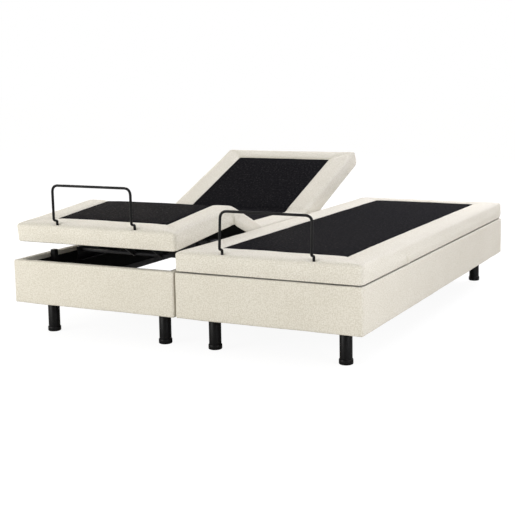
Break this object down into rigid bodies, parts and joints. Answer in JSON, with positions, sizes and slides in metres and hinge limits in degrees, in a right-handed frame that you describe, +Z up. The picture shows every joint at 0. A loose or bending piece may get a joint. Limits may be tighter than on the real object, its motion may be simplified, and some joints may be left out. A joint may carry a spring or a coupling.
{
  "type": "adjustable bed base",
  "caption": "Twin upholstered adjustable bed base with motorised back, thigh and foot sections, mattress retainer bars and round black legs.",
  "frame": {"origin": "on the floor, under the middle of the pair of bases", "axes": "+X across the pair to the right seen from the foot end, +Y from the foot end to the head end, +Z up"},
  "size_m": [1.606, 2, 0.663],
  "materials": {
    "platform_fabric": "cream woven fabric over padding, with a black anti-slip panel",
    "box_fabric": "cream woven fabric over wooden boards",
    "black_metal": "satin black",
    "grey_steel": "dark grey powder coat",
    "bright_steel": "bright drawn steel",
    "drive_plastic": "fine textured black plastic",
    "plain_wood": "planed softwood",
    "rubber": "matt black rubber"
  },
  "bodies": {
    "boxes": {"control_box": "drive_plastic", "coupler_plate": "grey_steel", "left_back_drive": "drive_plastic", "left_foot_board": "box_fabric", "left_foot_left_leg": "black_metal", "left_foot_leg_beam": "plain_wood", "left_foot_right_leg": "black_metal", "left_front_crossbar": "grey_steel", "left_head_board": "box_fabric", "left_head_left_leg": "black_metal", "left_head_leg_beam": "plain_wood", "left_head_right_leg": "black_metal", "left_left_bumper_block": "rubber", "left_left_side_board": "box_fabric", "left_left_side_rail": "grey_steel", "left_rear_crossbar": "grey_steel", "left_right_bumper_block": "rubber", "left_right_side_board": "box_fabric", "left_right_side_rail": "grey_steel", "left_seat_pad": "platform_fabric", "left_thigh_drive": "drive_plastic", "right_back_drive": "drive_plastic", "right_foot_board": "box_fabric", "right_foot_left_leg": "black_metal", "right_foot_leg_beam": "plain_wood", "right_foot_right_leg": "black_metal", "right_front_crossbar": "grey_steel", "right_head_board": "box_fabric", "right_head_left_leg": "black_metal", "right_head_leg_beam": "plain_wood", "right_head_right_leg": "black_metal", "right_left_bumper_block": "rubber", "right_left_side_board": "box_fabric", "right_left_side_rail": "grey_steel", "right_rear_crossbar": "grey_steel", "right_right_bumper_block": "rubber", "right_right_side_board": "box_fabric", "right_right_side_rail": "grey_steel", "right_seat_pad": "platform_fabric", "right_thigh_drive": "drive_plastic"},
    "left_back_section": {"left_back_pad": "platform_fabric", "left_back_lift_frame": "grey_steel"},
    "left_thigh_section": {"left_thigh_pad": "platform_fabric", "left_thigh_lift_frame": "grey_steel"},
    "left_foot_section": {"left_foot_pad": "platform_fabric", "left_foot_lift_frame": "grey_steel"},
    "left_stay": {"left_foot_stay": "grey_steel"},
    "left_back_rod": {"left_back_drive_rod": "bright_steel"},
    "left_thigh_rod": {"left_thigh_drive_rod": "bright_steel"},
    "left_bar": {"left_retainer_bar": "black_metal"},
    "right_back_section": {"right_back_pad": "platform_fabric", "right_back_lift_frame": "grey_steel"},
    "right_thigh_section": {"right_thigh_pad": "platform_fabric", "right_thigh_lift_frame": "grey_steel"},
    "right_foot_section": {"right_foot_pad": "platform_fabric", "right_foot_lift_frame": "grey_steel"},
    "right_stay": {"right_foot_stay": "grey_steel"},
    "right_back_rod": {"right_back_drive_rod": "bright_steel"},
    "right_thigh_rod": {"right_thigh_drive_rod": "bright_steel"},
    "right_bar": {"right_retainer_bar": "black_metal"}
  },
  "joints": [
    {"name": "left_back_lift", "type": "hinge", "parent": "boxes", "child": "left_back_section", "pos_m": [-0.403, 0.265, 0.35], "axis": [1, 0, 0], "range_deg": [-21.4, 38.6]},
    {"name": "left_thigh_lift", "type": "hinge", "parent": "boxes", "child": "left_thigh_section", "pos_m": [-0.403, -0.215, 0.35], "axis": [-1, 0, 0], "range_deg": [-23.7, 12.3]},
    {"name": "left_knee_bend", "type": "hinge", "parent": "left_thigh_section", "child": "left_foot_section", "pos_m": [-0.403, -0.48054, 0.46657], "axis": [1, 0, 0], "range_deg": [-28.93, 15.03]},
    {"name": "left_stay_swing", "type": "hinge", "parent": "boxes", "child": "left_stay", "pos_m": [-0.403, -0.56799, 0.30328], "axis": [-1, 0, 0], "range_deg": [-28.99, 15.06]},
    {"name": "left_back_rod_slide", "type": "slide", "parent": "boxes", "child": "left_back_rod", "axis": [0, 1, 0], "range_m": [-0.04821, 0.08695]},
    {"name": "left_thigh_rod_slide", "type": "slide", "parent": "boxes", "child": "left_thigh_rod", "axis": [0, -1, 0], "range_m": [-0.05092, 0.02643]},
    {"name": "left_bar_lift", "type": "slide", "parent": "left_foot_section", "child": "left_bar", "axis": [0, -0.0909, 0.9959], "range_m": [0, 0.045]},
    {"name": "right_back_lift", "type": "hinge", "parent": "boxes", "child": "right_back_section", "pos_m": [0.403, 0.265, 0.35], "axis": [1, 0, 0], "range_deg": [0, 60]},
    {"name": "right_thigh_lift", "type": "hinge", "parent": "boxes", "child": "right_thigh_section", "pos_m": [0.403, -0.215, 0.35], "axis": [-1, 0, 0], "range_deg": [0, 36]},
    {"name": "right_knee_bend", "type": "hinge", "parent": "right_thigh_section", "child": "right_foot_section", "pos_m": [0.403, -0.505, 0.35], "axis": [1, 0, 0], "range_deg": [-0.02, 43.94]},
    {"name": "right_stay_swing", "type": "hinge", "parent": "boxes", "child": "right_stay", "pos_m": [0.403, -0.56799, 0.30328], "axis": [-1, 0, 0], "range_deg": [-0.02, 44.03]},
    {"name": "right_back_rod_slide", "type": "slide", "parent": "boxes", "child": "right_back_rod", "axis": [0, 1, 0], "range_m": [-0.00001, 0.13515]},
    {"name": "right_thigh_rod_slide", "type": "slide", "parent": "boxes", "child": "right_thigh_rod", "axis": [0, -1, 0], "range_m": [-0.00001, 0.07734]},
    {"name": "right_bar_lift", "type": "slide", "parent": "right_foot_section", "child": "right_bar", "axis": [0, 0, 1], "range_m": [0, 0.045]}
  ],
  "couplings": [
    {"joint": "left_knee_bend", "follows": "left_thigh_lift", "ratio": 1.22},
    {"joint": "left_stay_swing", "follows": "left_thigh_lift", "ratio": 1.2225},
    {"joint": "left_back_rod_slide", "follows": "left_back_lift", "m_per_rad": 0.12905},
    {"joint": "left_thigh_rod_slide", "follows": "left_thigh_lift", "m_per_rad": 0.12308},
    {"joint": "right_knee_bend", "follows": "right_thigh_lift", "ratio": 1.22},
    {"joint": "right_stay_swing", "follows": "right_thigh_lift", "ratio": 1.2225},
    {"joint": "right_back_rod_slide", "follows": "right_back_lift", "m_per_rad": 0.12905},
    {"joint": "right_thigh_rod_slide", "follows": "right_thigh_lift", "m_per_rad": 0.12308}
  ]
}
